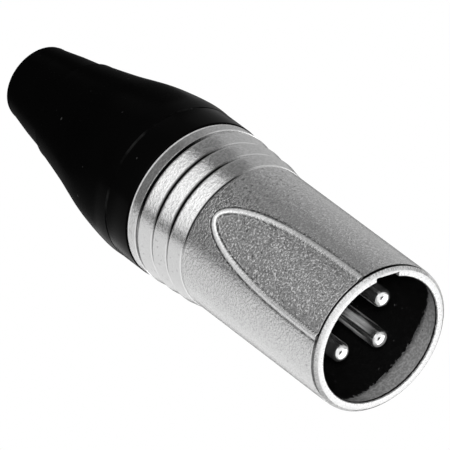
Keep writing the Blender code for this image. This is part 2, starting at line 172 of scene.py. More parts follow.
stage = {
    "centre": (0, 0, 0.02),
    "worldLight": 0.12,
    "floorRadius": 1.5,
    "floorDrop": 0.00005,
    "floorTone": 0.82,
    "floorGlow": 0.50,  # for the camera only
    "floorFade": (0.45, 0.97),  # parts of its radius
    "lamps": [
        # name, azimuth, elevation, distance, width, height, brightness, seen in reflections
        ("frontSoftbox", 0, 8, 0.6, 1.06, 0.34, 1.07, True),
        ("rimFill", 180, -46, 0.6, 0.5, 0.4, 1.2, True),
        ("topSoftbox", 150, 80, 1.0, 0.5, 0.5, 5.5, False),
        ("mouthLamp", 0, -10.5, 0.9, 0.03, 0.03, 1300.0, False),
        ("viewFill", 4, -40, 0.9, 0.10, 0.10, 82.0, False),
    ],
    "cardDistance": 0.6,
    "cardRows": 6,
    "cardSteps": 24,
    "cards": [
        # name, azimuth from, to, elevation from, to, tone
        ("darkCardLow", -57, 50, 28, 43, 0.25),
        ("darkCardHigh", -57, 50, 43, 64, 0.13),
        ("middleCardLow", 50, 84, 28, 43, 0.42),
        ("middleCardHigh", 50, 84, 43, 64, 0.26),
        ("greyCardLow", 84, 160, 26, 43, 0.62),
        ("greyCardHigh", 84, 160, 43, 48, 0.42),
        ("greyCardTop", 84, 160, 48, 58, 0.06),
        ("paleCard", -158, -57, 20, 47, 1.05),
        ("paleCardTop", -158, -57, 47, 58, 0.12),
        ("edgeCard", 160, 202, 10, 75, 0.10),
        ("ceilingCard", -57, 84, 64, 90, 0.02),
        ("rightCeilingCard", 84, 160, 58, 90, 0.02),
        ("backCeilingCard", 160, 202, 75, 90, 0.02),
        ("leftCeilingCard", 202, 303, 58, 90, 0.02),
        ("lowDarkCard", 43, 84, -8, 28, 0.21),
        ("lowMiddleCard", 84, 135, -8, 26, 0.42),
        ("lowLeftCard", -57, -43, -8, 28, 0.25),
        ("spotCard", 158, 202, -81, -57, 0.02),
        ("groundRightCard", 22, 148, -52, -8, 0.50),
        ("groundLeftCard", -148, -22, -52, -8, 0.50),
    ],
}


def direction(azimuth, elevation):  # azimuth 0 is -Y, 90 is +X
    a, e = math.radians(azimuth), math.radians(elevation)
    return Vector((math.sin(a) * math.cos(e), -math.cos(a) * math.cos(e), math.sin(e)))


def makeLamp(name, azimuth, elevation, distance, width, height, brightness, reflected):
    data = bpy.data.lights.new(name, "AREA")
    data.shape, data.size, data.size_y = "RECTANGLE", width, height
    data.energy = brightness * math.pi * width * height
    obj = bpy.data.objects.new(name, data)
    obj.visible_glossy = reflected
    bpy.context.scene.collection.objects.link(obj)
    back = direction(azimuth, elevation)
    obj.location = Vector(stage["centre"]) + back * distance
    obj.rotation_mode = "QUATERNION"
    obj.rotation_quaternion = (-back).to_track_quat("-Z", "Y")


def selectNothing():
    if bpy.context.mode != "OBJECT":
        bpy.ops.object.mode_set(mode="OBJECT")
    bpy.ops.object.select_all(action="DESELECT")


def selectOnly(obj):
    selectNothing()
    bpy.context.view_layer.objects.active = obj
    obj.select_set(True)


def drawLine(name, points):  # vertices through the points, each extruded from the one before
    selectNothing()
    bpy.ops.mesh.primitive_plane_add(size=mm, location=(0, 0, 0))
    obj = bpy.context.object
    obj.name = obj.data.name = name
    bpy.ops.object.mode_set(mode="EDIT")
    bpy.ops.mesh.merge(type="CENTER")
    bpy.ops.transform.translate(value=points[0])
    for before, after in zip(points, points[1:]):
        bpy.ops.mesh.extrude_region_move(TRANSFORM_OT_translate={"value": Vector(after) - Vector(before)})
    bpy.ops.object.mode_set(mode="OBJECT")
    return obj


def inPlane(azimuth, outline):  # (radius, z) pairs in mm as points in metres
    a = math.radians(azimuth)
    return [Vector((math.sin(a) * r, -math.cos(a) * r, z)) * mm for r, z in outline]


def spinLine(name, outline, azimuth, sweep, steps):  # the outline turned about Z, through an angle
    obj = drawLine(name, inPlane(azimuth, outline))
    bpy.ops.object.mode_set(mode="EDIT")
    bpy.ops.mesh.select_all(action="SELECT")
    angle = math.radians(-sweep)  # the operator turns clockwise
    bpy.ops.mesh.spin(steps=steps, angle=angle, center=(0, 0, 0), axis=(0, 0, 1))
    bpy.ops.mesh.select_all(action="SELECT")
    bpy.ops.mesh.remove_doubles(threshold=1e-6)
    bpy.ops.object.mode_set(mode="OBJECT")
    return obj


def emissionMaterial(name, tone):
    material = bpy.data.materials.new(name)
    material.use_nodes = True
    tree = material.node_tree
    tree.nodes.remove(tree.nodes["Principled BSDF"])
    glow = Socket(tree).make("ShaderNodeEmission", {}, {"Color": grey(tone), "Strength": 1.0})
    tree.links.new(glow.output, tree.nodes["Material Output"].inputs["Surface"])
    return material


def makeCard(name, fromAzimuth, toAzimuth, fromElevation, toElevation, tone):
    distance = stage["cardDistance"] / mm
    lift = stage["centre"][2] / mm
    rows = stage["cardRows"]
    arcPoints = []
    for i in range(rows + 1):
        e = math.radians(fromElevation + (toElevation - fromElevation) * i / rows)
        arcPoints.append((math.cos(e) * distance, math.sin(e) * distance + lift))
    card = spinLine(name, arcPoints, fromAzimuth, toAzimuth - fromAzimuth, stage["cardSteps"])
    card.data.materials.append(emissionMaterial(name, tone))
    card.visible_camera = card.visible_diffuse = card.visible_shadow = False
    card.visible_transmission = card.visible_volume_scatter = False


def makeFloor():
    radius = stage["floorRadius"]
    selectNothing()
    bpy.ops.mesh.primitive_circle_add(
        vertices=96, radius=radius, fill_type="NGON", location=(0, 0, -stage["floorDrop"])
    )
    floor = bpy.context.object
    floor.name = floor.data.name = "floor"
    bpy.ops.object.transform_apply(location=True, rotation=True, scale=True)
    material, shader, s = newMaterial("paleFloor")
    tree = material.node_tree
    feed(tree, shader, Base_Color=grey(stage["floorTone"]), Roughness=0.9, Specular_IOR_Level=0.0)
    feed(tree, shader, Emission_Color=grey(1.0), Emission_Strength=stage["floorGlow"])
    reach = s.make("ShaderNodeVectorMath", {"operation": "LENGTH"}, {0: objectPlace(s)}, output=1)
    low, high = stage["floorFade"]
    edge = reach.fade(low * radius, high * radius)
    underneath = s.make("ShaderNodeNewGeometry", output=6)
    clear = s.make("ShaderNodeBsdfTransparent")
    gone = s.sum("MAXIMUM", edge, underneath)
    both = s.make("ShaderNodeMixShader", {}, {0: gone, 2: clear})
    tree.links.new(shader.outputs[0], both.output.node.inputs[1])
    tree.links.new(both.output, tree.nodes["Material Output"].inputs["Surface"])
    floor.data.materials.append(material)
    floor.visible_glossy = floor.visible_diffuse = floor.visible_shadow = False
    floor.visible_transmission = False


def makeWorld():  # dim light on the plug, white behind it and in what it mirrors
    world = bpy.data.worlds.new("studio")
    bpy.context.scene.world = world
    world.use_nodes = True
    tree = world.node_tree
    light = tree.nodes["Background"]
    light.inputs["Color"].default_value = grey(1.0)
    light.inputs["Strength"].default_value = stage["worldLight"]
    s = Socket(tree)
    path = s.make("ShaderNodeLightPath").output.node
    rays = ("Is Camera Ray", "Is Glossy Ray", "Is Transmission Ray")
    direct, glossy, through = (Socket(tree, path.outputs[ray]) for ray in rays)
    seen = s.sum("MAXIMUM", s.sum("MAXIMUM", direct, glossy), through)
    white = s.make("ShaderNodeBackground", {}, {"Color": grey(1.0), "Strength": 1.0})
    both = s.make("ShaderNodeMixShader", {}, {0: seen, 2: white})
    tree.links.new(light.outputs[0], both.output.node.inputs[1])
    tree.links.new(both.output, tree.nodes["World Output"].inputs["Surface"])


makeWorld()
makeFloor()
for lamp in stage["lamps"]:
    makeLamp(*lamp)
for card in stage["cards"]:
    makeCard(*card)
bpy.context.scene.view_settings.view_transform = "Standard"
print("stage set")

# Materials: sizes and places in mm

nickel = {
    "tone": 0.64,
    "fieldShade": 0.25,  # how much darker the arch's field is
    "roughness": 0.22,
    "fieldRoughness": 0.34,
    "grainSize": 0.30,
    "grainHeight": 0.015,
    "fieldGrainHeight": 0.009,
    "grainContrast": (0.10, 0.28),  # on the -X side, and what is added towards +X
    "contrastTurn": (-5, 5),  # x between which it is added
    "cloudSize": 4.0,
    "speckSize": 0.24,
    "pitSize": 0.45,
    "pitDepth": (0.16, 0.20, 0.30),  # everywhere, more in the field, more in the pitted zone
    "pittedAcross": (-2, 4),
    "pittedAlong": (12, 23),
    "bandsFrom": (25.7, 26.0),
    "brokenLines": (0.9, 1.3, 25.2, 25.4),  # z between which the dark lines have gaps
    "gapSize": 0.40,
    # painted highlight tones: on the groove lines, then on the rim, ridge and lip
    "pale": 0.98,
    "highlightTone": 0.95,
    "highlightGrain": (0.58, 0.38),  # how strong the painted highlight is, and what the grain adds
    "patchTone": (0.23, 0.14),  # the grey patch inside the mouth, a painted pool of light, and its grain
    "patchEdge": (0.70, 0.78),
}
blacks = {
    "blackPlastic": {
        "tone": 0.0015,
        "roughness": 0.22,
        "specular": 0.020,
        "grainSize": 0.25,
        "grainHeight": 0.004,
        "edge": 39.80,  # z of the front edge, with a faint painted highlight
    },
    "blackRubber": {
        "tone": 0.0012,
        "roughness": 0.25,
        "specular": 0.017,
        "grainSize": 0.16,
        "grainHeight": 0.006,
        "edge": 39.97,
    },
}
silver = {
    "tone": 0.86,
    "roughness": 0.09,
    "ringSize": 0.06,  # turning marks
    "ringHeight": 0.0006,
    "wearSize": 0.8,
    "streakSize": 0.55,
    "streakStart": (3.4, 6.5),
    "streakEnd": (9, 12),
}


def between(socket, low, high):  # a fade between two places in mm
    return socket.fade(low * mm, high * mm)


def makeNickel():  # blasted grain, painted shade in the grooves, painted highlights, and what paint() puts on the shell
    c = nickel
    material, shader, s = newMaterial("satinNickel")
    place = objectPlace(s)
    names = ("field", "paintedShade", "paintedHighlight", "inner", "grooveHighlight")
    field, paintedShade, paintedHighlight, inner, grooveHighlight = (attribute(s, name) for name in names)
    across, along = axis(s, place, 0), axis(s, place, 2)
    fine = noise(s, place, c["grainSize"], 3.0, 0.6)
    coarse = noise(s, place, c["grainSize"], 3.0, 0.65)
    dots = field.mix(fine, coarse).fade(0.38, 0.66)
    cloud = noise(s, place, c["cloudSize"], 2.0)
    specks = noise(s, place, c["speckSize"], 2.0, 0.5).fade(0.53, 0.66) * field
    pits = noise(s, place, c["pitSize"], 1.0, 0.4).fade(0.64, 0.72)
    gaps = noise(s, place, c["gapSize"], 2.0, 0.6).fade(0.52, 0.38)
    rags = noise(s, place, c["gapSize"], 4.0, 0.65)

    banded = between(along, *c["bandsFrom"])
    pitted = between(across, *c["pittedAcross"]) * between(along, *c["pittedAlong"]) * (1 - banded)
    low, full, fullEnd, end = c["brokenLines"]
    dotted = 1 - 0.6 * gaps * between(along, low, full) * between(along, end, fullEnd)
    least, more = c["grainContrast"]
    contrast = (least + more * between(across, *c["contrastTurn"])) * (1 - 0.5 * banded)
    everywhere, inField, inZone = c["pitDepth"]
    tone = 0.97 + contrast * (dots - 0.5) + 0.06 * (cloud - 0.5)
    tone = tone - (everywhere + inField * field + inZone * pitted) * pits - 0.04 * banded
    tone = c["tone"] * tone
    tone = tone * (1 - c["fieldShade"] * field) + (0.9 - tone) * (0.8 * specks)
    # painted highlights on the groove lines
    tone = tone + (c["pale"] - tone) * grooveHighlight
    # painted shade in the grooves and beside the ridge
    tone = tone * (1 - 0.95 * paintedShade * dotted)
    least, more = c["highlightGrain"]
    # painted highlights on the rim, the ridge and the lip's edge
    tone = tone + (c["highlightTone"] - tone) * (paintedHighlight * (least + more * dots))
    # painted light and shadow in the mouth: a grey patch where light falls in, black deeper in where the
    # rim shades the wall
    patch = inner.fade(0.1, 0.4)
    mouthShadow = (inner + 1.3 * (rags - 0.5)).fade(*c["patchEdge"])  # painted shadow: the mouth's deep wall made black, with a ragged edge
    least, more = c["patchTone"]
    tone = patch.mix(tone, least + more * dots) * (1 - 0.96 * mouthShadow)

    rough = c["roughness"] + (c["fieldRoughness"] - c["roughness"]) * field
    rough = rough + 0.06 * (dots - 0.5) + 0.10 * paintedHighlight + 0.15 * paintedShade + 0.25 * specks
    height = dots * (c["grainHeight"] + (c["fieldGrainHeight"] - c["grainHeight"]) * field)
    height = height * (1 - 0.9 * paintedHighlight) * (1 - 0.6 * banded)
    feed(
        material.node_tree,
        shader,
        Base_Color=tone,
        Metallic=1.0 - 0.9 * patch - 0.68 * paintedHighlight - 0.3 * specks,
        Roughness=rough,
        Normal=bump(s, height),
    )
    return material


def makeBlack(name):  # a faint texture, a few pale specks and a faint painted highlight on one edge
    c = blacks[name]
    material, shader, s = newMaterial(name)
    place = objectPlace(s)
    along, edge = axis(s, place, 2), c["edge"]
    fine = noise(s, place, c["grainSize"], 3.0, 0.6)
    cloud = noise(s, place, 6.0, 2.0)
    specks = noise(s, place, 0.9, 1.0, 0.4).fade(0.78, 0.84)
    # painted highlight: a faint pale line, in spots, along the front edge
    edgeHighlight = between(along, edge + 0.20, edge + 0.10) * between(along, edge - 0.10, edge)
    edgeHighlight = edgeHighlight * noise(s, place, 4.0, 4.0, 0.6).fade(0.40, 0.75)
    feed(
        material.node_tree,
        shader,
        Base_Color=c["tone"] * (0.8 + 0.4 * cloud) + 0.04 * specks + 0.02 * edgeHighlight,
        Roughness=c["roughness"] + 0.12 * (fine - 0.5) + 0.06 * (cloud - 0.5),
        Normal=bump(s, fine, c["grainHeight"]),
        Specular_IOR_Level=c["specular"],
    )
    return material


def makeSilver():  # faint turning marks, and less metallic streaks where a socket slides on it: wear, strongest on pin_3 as a painted highlight
    c = silver
    material, shader, s = newMaterial("brightContact")
    place = objectPlace(s)
    along = axis(s, place, 2)
    turned = s.make("ShaderNodeMapping", {}, {"Vector": place, "Scale": (0.15, 0.15, 1.0)})
    rings = noise(s, turned, c["ringSize"], 2.0, 0.5)
    wear = noise(s, place, c["wearSize"], 3.0)
    lengthwise = s.make("ShaderNodeMapping", {}, {"Vector": place, "Scale": (1.0, 1.0, 0.05)})
    streaks = noise(s, lengthwise, c["streakSize"], 2.0, 0.6).fade(0.42, 0.62)
    low, high = c["streakEnd"]
    streaks = streaks * between(along, high, low)
    # wear streaks, made strong on pin_3 for a painted highlight
    streaks = streaks * between(along, *c["streakStart"]) * attribute(s, "paintedLightAndWear")
    feed(
        material.node_tree,
        shader,
        Base_Color=c["tone"] + 0.08 * wear,
        Metallic=0.95 - 0.90 * streaks,
        Roughness=c["roughness"] + 0.08 * wear + 0.15 * streaks,
        Normal=bump(s, rings, c["ringHeight"]),
    )
    return material


satinNickel = makeNickel()
blackPlastic = makeBlack("blackPlastic")
blackRubber = makeBlack("blackRubber")
brightContact = makeSilver()
print("materials made")

# Helpers for turned pieces


def roundCorners(corners, steps=3):  # (radius, z, rounding) corners as plain points and short arcs
    points = []
    for i, (r, z, rounding) in enumerate(corners):
        if rounding == 0 or i in (0, len(corners) - 1):
            points.append((r, z))
            continue
        here = Vector((r, z))
        before = Vector(corners[i - 1][:2]) - here
        after = Vector(corners[i + 1][:2]) - here
        half = before.angle(after) / 2
        back = min(rounding / max(math.tan(half), 0.05), before.length * 0.45, after.length * 0.45)
        start, end = here + before.normalized() * back, here + after.normalized() * back
        for k in range(steps + 1):
            t = k / steps
            points.append(tuple(start * (1 - t) ** 2 + here * 2 * t * (1 - t) + end * t * t))
    return points


def addRows(points, low, high, spacing):  # more points on the straight runs between low and high
    rows = [points[0]]
    for first, second in zip(points, points[1:]):
        run = (Vector(second) - Vector(first)).length
        count = 1
        if low <= min(first[1], second[1]) and max(first[1], second[1]) <= high:
            count = max(1, math.ceil(run / spacing))
        for k in range(1, count + 1):
            t = k / count
            rows.append((first[0] * (1 - t) + second[0] * t, first[1] * (1 - t) + second[1] * t))
    return rows


def finishMesh(obj, material, sharp=40):  # doubles merged, faces out, smooth but for sharp edges
    selectOnly(obj)
    bpy.ops.object.mode_set(mode="EDIT")
    bpy.ops.mesh.select_all(action="SELECT")
    bpy.ops.mesh.remove_doubles(threshold=1e-6)
    bpy.ops.mesh.normals_make_consistent(inside=False)
    bpy.ops.object.mode_set(mode="OBJECT")
    bpy.ops.object.shade_smooth_by_angle(angle=math.radians(sharp))
    obj.data.materials.clear()
    obj.data.materials.append(material)


def turnPiece(name, outline, steps, material, sharp=40):  # a closed outline in mm turned round Z
    obj = spinLine(name, outline + [outline[0]], 0, 360, steps)
    finishMesh(obj, material, sharp)
    return obj


def joinPieces(name, pieces):
    selectNothing()
    for piece in pieces:
        piece.select_set(True)
    bpy.context.view_layer.objects.active = pieces[0]
    bpy.ops.object.join()
    pieces[0].name = pieces[0].data.name = name
    return pieces[0]


def cutAway(obj, cutter):
    selectOnly(obj)
    cut = obj.modifiers.new("cut", "BOOLEAN")
    cut.operation, cut.object = "DIFFERENCE", cutter
    bpy.ops.object.modifier_apply(modifier="cut")
    bpy.data.objects.remove(cutter, do_unlink=True)


def addBlock(name, size, centre, turn, bevel):  # in mm; put at its centre, then turned about Z
    selectNothing()
    bpy.ops.mesh.primitive_cube_add(size=1, location=(0, 0, 0))
    obj = bpy.context.object
    obj.name = obj.data.name = name
    obj.scale = Vector(size) * mm
    obj.location = Vector(centre) * mm
    bpy.ops.object.transform_apply(location=True, rotation=True, scale=True)
    obj.rotation_euler = (0, 0, math.radians(turn))
    bpy.ops.object.transform_apply(location=True, rotation=True, scale=True)
    bpy.ops.object.mode_set(mode="EDIT")
    bpy.ops.mesh.select_all(action="SELECT")
    bpy.ops.mesh.bevel(offset=bevel * mm, segments=2, affect="EDGES")
    bpy.ops.object.mode_set(mode="OBJECT")
    return obj


def moveTo(obj, x, y):
    selectOnly(obj)
    obj.location = (x * mm, y * mm, 0)
    bpy.ops.object.transform_apply(location=True, rotation=True, scale=True)


def paint(obj, name, rule):  # a value on every vertex, from its place in mm
    layer = obj.data.attributes.new(name, "FLOAT", "POINT")
    for vertex, item in zip(obj.data.vertices, layer.data):
        item.value = rule(vertex.co / mm)


def smoothStep(value, low, high):
    t = min(1.0, max(0.0, (value - low) / (high - low)))
    return t * t * (3 - 2 * t)


def radiusAt(co):
    return math.hypot(co.x, co.y)


def standFor(obj, body, node):
    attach(obj, body)
    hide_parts(node)


# Shell: rim, barrel with the arch, three bands, lip, mouth and threaded bore

shell = {
    "radius": 9.5,
    "mouth": 8.2,
    "mouthEdge": 0.14,
    "edge": 0.12,  # at the mouth and on the lip
    "shoulder": 18.0,
    "bodyBore": 8.6,
    "threadStart": 29.05,
    "threadBore": 8.8,
    "end": 35.75,
    "rimEdge": 9.05,
    "grooveStart": 0.36,
    "grooveEnd": 0.74,
    "grooveFloor": 9.15,
    "bands": 3,
    "bandsStart": 25.95,
    "bandPitch": 2.7,
    "bandFirst": 9.55,
    "bandClimb": 0.15,
    "bandRise": 0.40,
    "bandGroove": 0.45,
    "bandFloor": 0.50,  # groove floor under the band's top
    "lip": 10.25,
    "lipStart": 34.05,
    "edgeRows": (0.16, 0.30),  # rows that hold the shading beside an edge
    "rowSpacing": 0.13,
    "patchStart": 0.42,
    "patchRow": 0.17,
    "patchRows": 20,
    "archSector": 33,  # degrees each side of -Y with dense steps
    "archSteps": 92,
    "restSteps": 100,
    "sharp": 30,
    "keyway": {"angle": -42, "width": 3.3, "depth": 0.5, "length": 13.5, "bevel": 0.12},
    "latch": {"width": 4.6, "length": 3.2, "from": 4.6, "depth": 0.4, "bevel": 0.1},
}
arch = {
    "halfWidth": 4.6,
    "length": 23.8,
    "ridge": 0.74,
    "height": 0.15,
    "fieldDepth": 0.16,
    "line": 0.21,  # width of the fine line on each side of the ridge
    "lineDepth": 0.05,
    "reach": (5.3, 25.2),  # x and z beyond which nothing is raised
    "edgePoints": 1600,
}
# Painted shade and painted highlights on the shell, and painted light and shadow inside the mouth
# Degrees run from -Y towards +X; pairs of numbers are where a smooth change starts and ends
marks = {
    "outside": 9,  # radius beyond which the outer face lies
    "upper": (9, 18),  # z over which the arch's lines darken
    "lineLeast": (0.65, 0.40),  # how dark the outer and the inner line are near the mouth
    "lineWidth": (0.05, 0.18),
    "archSide": (-38, -24),  # degrees where the painted shade in the grooves sets in
    "rimStainEnd": (95, 130),
    "rimShadeLeast": 0.15,
    "bandShadeEnd": (28, 42),
    "bandShadeLeast": 0.10,
    "grooveHighlightRight": (36, 52),
    "grooveHighlightLeft": (30, 44),
    "grooveHighlightMost": (0.95, 0.45),  # right and left
    "rimHighlight": (0.10, 0.45),
    "rimInside": (8.25, 8.4),
    "chamferHighlightCut": 0.8,  # how much of the painted highlight the chamfer loses away from the arch
    "ridgeHighlight": (0.50, 0.36),  # painted highlight on the ridge near the mouth, and what is added higher up
    "lipHighlight": 0.9,
    "paintedLightAndWear": 3.2,  # depth of the grey patch inside the mouth, a painted pool of light
    "lightEdge": 0.35,
}


def shellOutline():
    c = shell
    mouth, radius, groove = c["mouth"], c["radius"], c["grooveFloor"]
    corners = [(mouth, c["mouthEdge"], 0), (mouth + c["edge"], 0, 0.05), (c["rimEdge"], 0, 0.09)]
    corners += [(radius, c["grooveStart"], 0.05), (groove, c["grooveStart"], 0.05)]
    corners += [(groove, c["grooveEnd"], 0.05), (radius, c["grooveEnd"], 0.06)]
    corners += [(radius, c["bandsStart"], 0.1)]
    for i in range(c["bands"]):
        start = c["bandFirst"] + i * c["bandClimb"]
        low = c["bandsStart"] + i * c["bandPitch"]
        high = low + c["bandPitch"] - c["bandGroove"]
        top = start + c["bandRise"]
        floor = top - c["bandFloor"]
        slope = c["bandRise"] / (high - low)
        corners += [(start, low, 0.04)] + [(start + slope * row, low + row, 0) for row in c["edgeRows"]]
        row = c["edgeRows"][1]
        corners += [(top - slope * row, high - row, 0), (top, high, 0.13)]
        corners += [(floor, high, 0.05), (floor, low + c["bandPitch"], 0.05)]
    lip, end = c["lip"], c["end"]
    corners += [(lip, c["lipStart"], 0.04)] + [(lip, c["lipStart"] + row, 0) for row in c["edgeRows"]]
    corners += [(lip, end - 0.42, 0), (lip, end - 0.30, 0)]
    corners += [(lip, end - 0.13, 0.06), (lip - c["edge"], end, 0.03)]
    corners += [(c["threadBore"], end, 0.12), (c["threadBore"], c["threadStart"], 0)]
    corners += [(c["bodyBore"], c["threadStart"], 0), (c["bodyBore"], c["shoulder"], 0)]
    corners += [(mouth, c["shoulder"], 0)]
    corners += [(mouth, c["patchStart"] + c["patchRow"] * i, 0) for i in reversed(range(c["patchRows"]))]
    corners += [(mouth, 0.34, 0), (mouth, c["mouthEdge"], 0)]
    points = roundCorners(corners)
    split = next(i for i, point in enumerate(points) if point[1] >= c["bandsStart"] - 0.3)
    rows = addRows(points[: split + 1], c["grooveEnd"], c["bandsStart"], c["rowSpacing"])
    return rows + points[split + 1 :]


def archLine():  # points along the arch's outer edge, to find the nearest one
    count = arch["edgePoints"]
    tree = kdtree.KDTree(count + 1)
    for i in range(count + 1):
        angle = math.pi * i / count
        x, z = arch["halfWidth"] * math.cos(angle), arch["length"] * math.sin(angle) ** (2 / 3)
        tree.insert((x, z, 0), i)
    tree.balance()
    return tree


archEdge = archLine()


def insideArch(co):  # mm from the arch's outer edge, positive inside
    x, z = co.x, co.z
    across = math.asin(max(-1, min(1, x / shell["radius"]))) * shell["radius"]
    near = archEdge.find((x, z, 0))[2] * (abs(across / x) if abs(x) > 0.5 else 1.0)
    filled = (x / arch["halfWidth"]) ** 2 + (max(z, 0) / arch["length"]) ** 3 < 1
    return near if filled else -near


def archRelief(d):  # how far the surface stands out at this distance inside the arch's edge
    a = arch
    line, ridge = a["line"], a["ridge"]
    if d < -line:
        return 0.0
    if d < 0:
        return -a["lineDepth"] * math.sin(math.pi * (d + line) / line) ** 2
    if d < ridge:
        return a["height"] * math.sin(math.pi * d / ridge) ** 0.6
    if d < ridge + line:
        t = (d - ridge) / line
        return -a["fieldDepth"] * smoothStep(t, 0, 1) - a["lineDepth"] * math.sin(math.pi * t) ** 2
    return -a["fieldDepth"]


def onArch(co):
    x, z = arch["reach"]
    front = co.y < 0 and abs(co.x) < x and radiusAt(co) > shell["radius"] - 0.32
    return front and shell["grooveEnd"] - 0.01 <= co.z < z


def archDistance(co):
    return insideArch(co) if onArch(co) else -9.0


def turnAt(co):
    return math.degrees(math.atan2(co.x, -co.y))


def upperAt(co):
    return smoothStep(co.z, *marks["upper"])


def fieldAt(co):
    return smoothStep(archDistance(co), arch["ridge"] + 0.1, arch["ridge"] + arch["line"])


def sideShadeAt(turn, ending, least):  # painted shade: dark on the arch's side, faint elsewhere
    dark = smoothStep(turn, *marks["archSide"]) * (1 - smoothStep(turn, *ending))
    return least + (1 - least) * dark


# painted shade: dark lines beside the arch's ridge, darker higher up, and in the rim's and bands' grooves,
# darkest on the arch's side
def paintedShadeAt(co):
    c, m = shell, marks
    d, radius, turn = archDistance(co), radiusAt(co), turnAt(co)
    middle = arch["line"] * 0.5
    value = 0.0
    for centre, least in zip((-middle, arch["ridge"] + middle), m["lineLeast"]):
        dark = 1 - smoothStep(abs(d - centre), *m["lineWidth"])
        value = max(value, dark * (least + (1 - least) * upperAt(co)))
    if radius <= m["outside"]:
        return value
    if c["grooveStart"] + 0.02 < co.z < c["grooveEnd"] + 0.02:
        sideShade = sideShadeAt(turn, m["rimStainEnd"], m["rimShadeLeast"])
        value = max(value, sideShade * (1 - smoothStep(radius, c["radius"] - 0.08, c["radius"] - 0.01)))
    sideShade = sideShadeAt(turn, m["bandShadeEnd"], m["bandShadeLeast"])
    for i in range(c["bands"]):
        top = c["bandFirst"] + i * c["bandClimb"] + c["bandRise"]
        high = c["bandsStart"] + (i + 1) * c["bandPitch"]
        if high - c["bandGroove"] - 0.02 < co.z < high + 0.32:
            wall = 1 - smoothStep(co.z, high + 0.12, high + 0.24)
            value = max(value, sideShade * wall * (1 - smoothStep(radius, top - 0.16, top - 0.06)))
    if abs(co.z - c["bandsStart"]) < 0.3:
        value = max(value, sideShade * (1 - smoothStep(abs(co.z - c["bandsStart"] + 0.12), 0.08, 0.22)))
    return value


def paintedHighlightAt(co):  # painted highlights in a pale, less metallic colour: on the rim, the ridge and the lip's edge
    m, radius, d = marks, radiusAt(co), archDistance(co)
    highlightCut = m["chamferHighlightCut"] * smoothStep(co.y, -5, 2) * smoothStep(co.z, 0, 0.02)
    value = (1 - highlightCut) * (1 - smoothStep(co.z, *m["rimHighlight"])) * smoothStep(radius, *m["rimInside"])
    if 0 < d < arch["ridge"]:
        glint = smoothStep(math.sin(math.pi * d / arch["ridge"]), 0.25, 0.8)
        least, more = m["ridgeHighlight"]
        value = max(value, glint * (least + more * upperAt(co)))
    if co.z > shell["end"] - 0.36 and radius > 9.6:
        value = max(value, m["lipHighlight"])
    return value


def grooveHighlightAt(co):  # painted highlights: pale groove lines beside the arch's side
    c, m, turn = shell, marks, turnAt(co)
    right, left = m["grooveHighlightMost"]
    for i in range(c["bands"] + 1):
        low = c["bandsStart"] + i * c["bandPitch"]
        before = c["bandGroove"] + 0.05 if i else 0.12
        if radiusAt(co) > m["outside"] and low - before < co.z < low + 0.22:
            return max(right * smoothStep(turn, *m["grooveHighlightRight"]), left * smoothStep(-turn, *m["grooveHighlightLeft"]))
    return 0.0


def innerAt(co):  # 0 outside, 0.5 on the grey patch painted as a pool of light, 1 where the mouth is painted black as shadow
    if co.z < 0.12 or radiusAt(co) > shell["mouth"] + 0.45:
        return 0.0
    depth = marks["paintedLightAndWear"] * co.y / radiusAt(co)
    edge = marks["lightEdge"]
    return 1.0 if co.z < 0.36 else 0.5 + 0.5 * smoothStep(co.z, depth - edge, depth + edge)


def makeShell():
    c = shell
    outline, sector, mouth = shellOutline(), c["archSector"], c["mouth"]
    dense = spinLine("shellFront", outline, -sector, 2 * sector, c["archSteps"])
    rest = spinLine("shellBack", outline, sector, 360 - 2 * sector, c["restSteps"])
    body = joinPieces("shellSkin", [dense, rest])
    finishMesh(body, satinNickel, c["sharp"])
    for vertex in body.data.vertices:
        co = vertex.co / mm
        if onArch(co):
            radius = radiusAt(co)
            vertex.co.xy = vertex.co.xy * ((radius + archRelief(insideArch(co))) / radius)
    key, latch = c["keyway"], c["latch"]
    reach = mouth + key["depth"]
    size, centre = (reach / 2, key["width"], 2 * key["length"]), (reach * 3 / 4, 0, 0)
    cutAway(body, addBlock("keyway", size, centre, key["angle"], key["bevel"]))
    reach = mouth + latch["depth"]
    size = (latch["width"], reach / 2, latch["length"])
    centre = (0, -reach * 3 / 4, latch["from"] + latch["length"] / 2)
    cutAway(body, addBlock("latch", size, centre, 0, latch["bevel"]))
    finishMesh(body, satinNickel, c["sharp"])
    paint(body, "field", fieldAt)
    paint(body, "paintedShade", paintedShadeAt)
    paint(body, "paintedHighlight", paintedHighlightAt)
    paint(body, "inner", innerAt)
    paint(body, "grooveHighlight", grooveHighlightAt)
    standFor(body, "housing", "shell")
    print("shell made:", len(body.data.polygons), "faces")


makeShell()

# Insert: black disc that carries the contacts

insert = {
    "face": 15.8,
    "nose": 8.1,
    "noseEdge": 0.25,
    "flangeStart": 18.25,
    "flange": 8.5,
    "flangeEnd": 23.45,
    "waist": 7.2,
    "end": 26.85,
    "pinBore": 1.3,
    "cupBore": 1.55,
    "pocket": 2.4,
    "ring": 5.9,  # fine moulded ring on the face
    "ringTop": 0.25,
    "ringFloor": 0.15,
    "ringDepth": 0.12,
    "steps": 96,
    "boreSteps": 40,
}
pins = {
    "places": {"pin_1": (-3.96, 0), "pin_2": (3.96, 0), "pin_3": (0, 3.96)},
    "paintedLightAndWear": {"pin_1": 0.20, "pin_2": 0.20, "pin_3": 1.0},  # how strong each shaft's wear streaks are; pin_3's are also a painted highlight
    "tip": 3.2,
    "dome": 0.7,
    "domeRows": 14,
    "radius": 1.2,
    "neck": 24.7,
    "cup": 1.45,
    "cupEnd": 30.45,
    "cupBore": 0.95,
    "cupFloor": 27.45,
    "cupWall": 1.5,  # height of whole wall above the cup's floor
    "steps": 48,
}


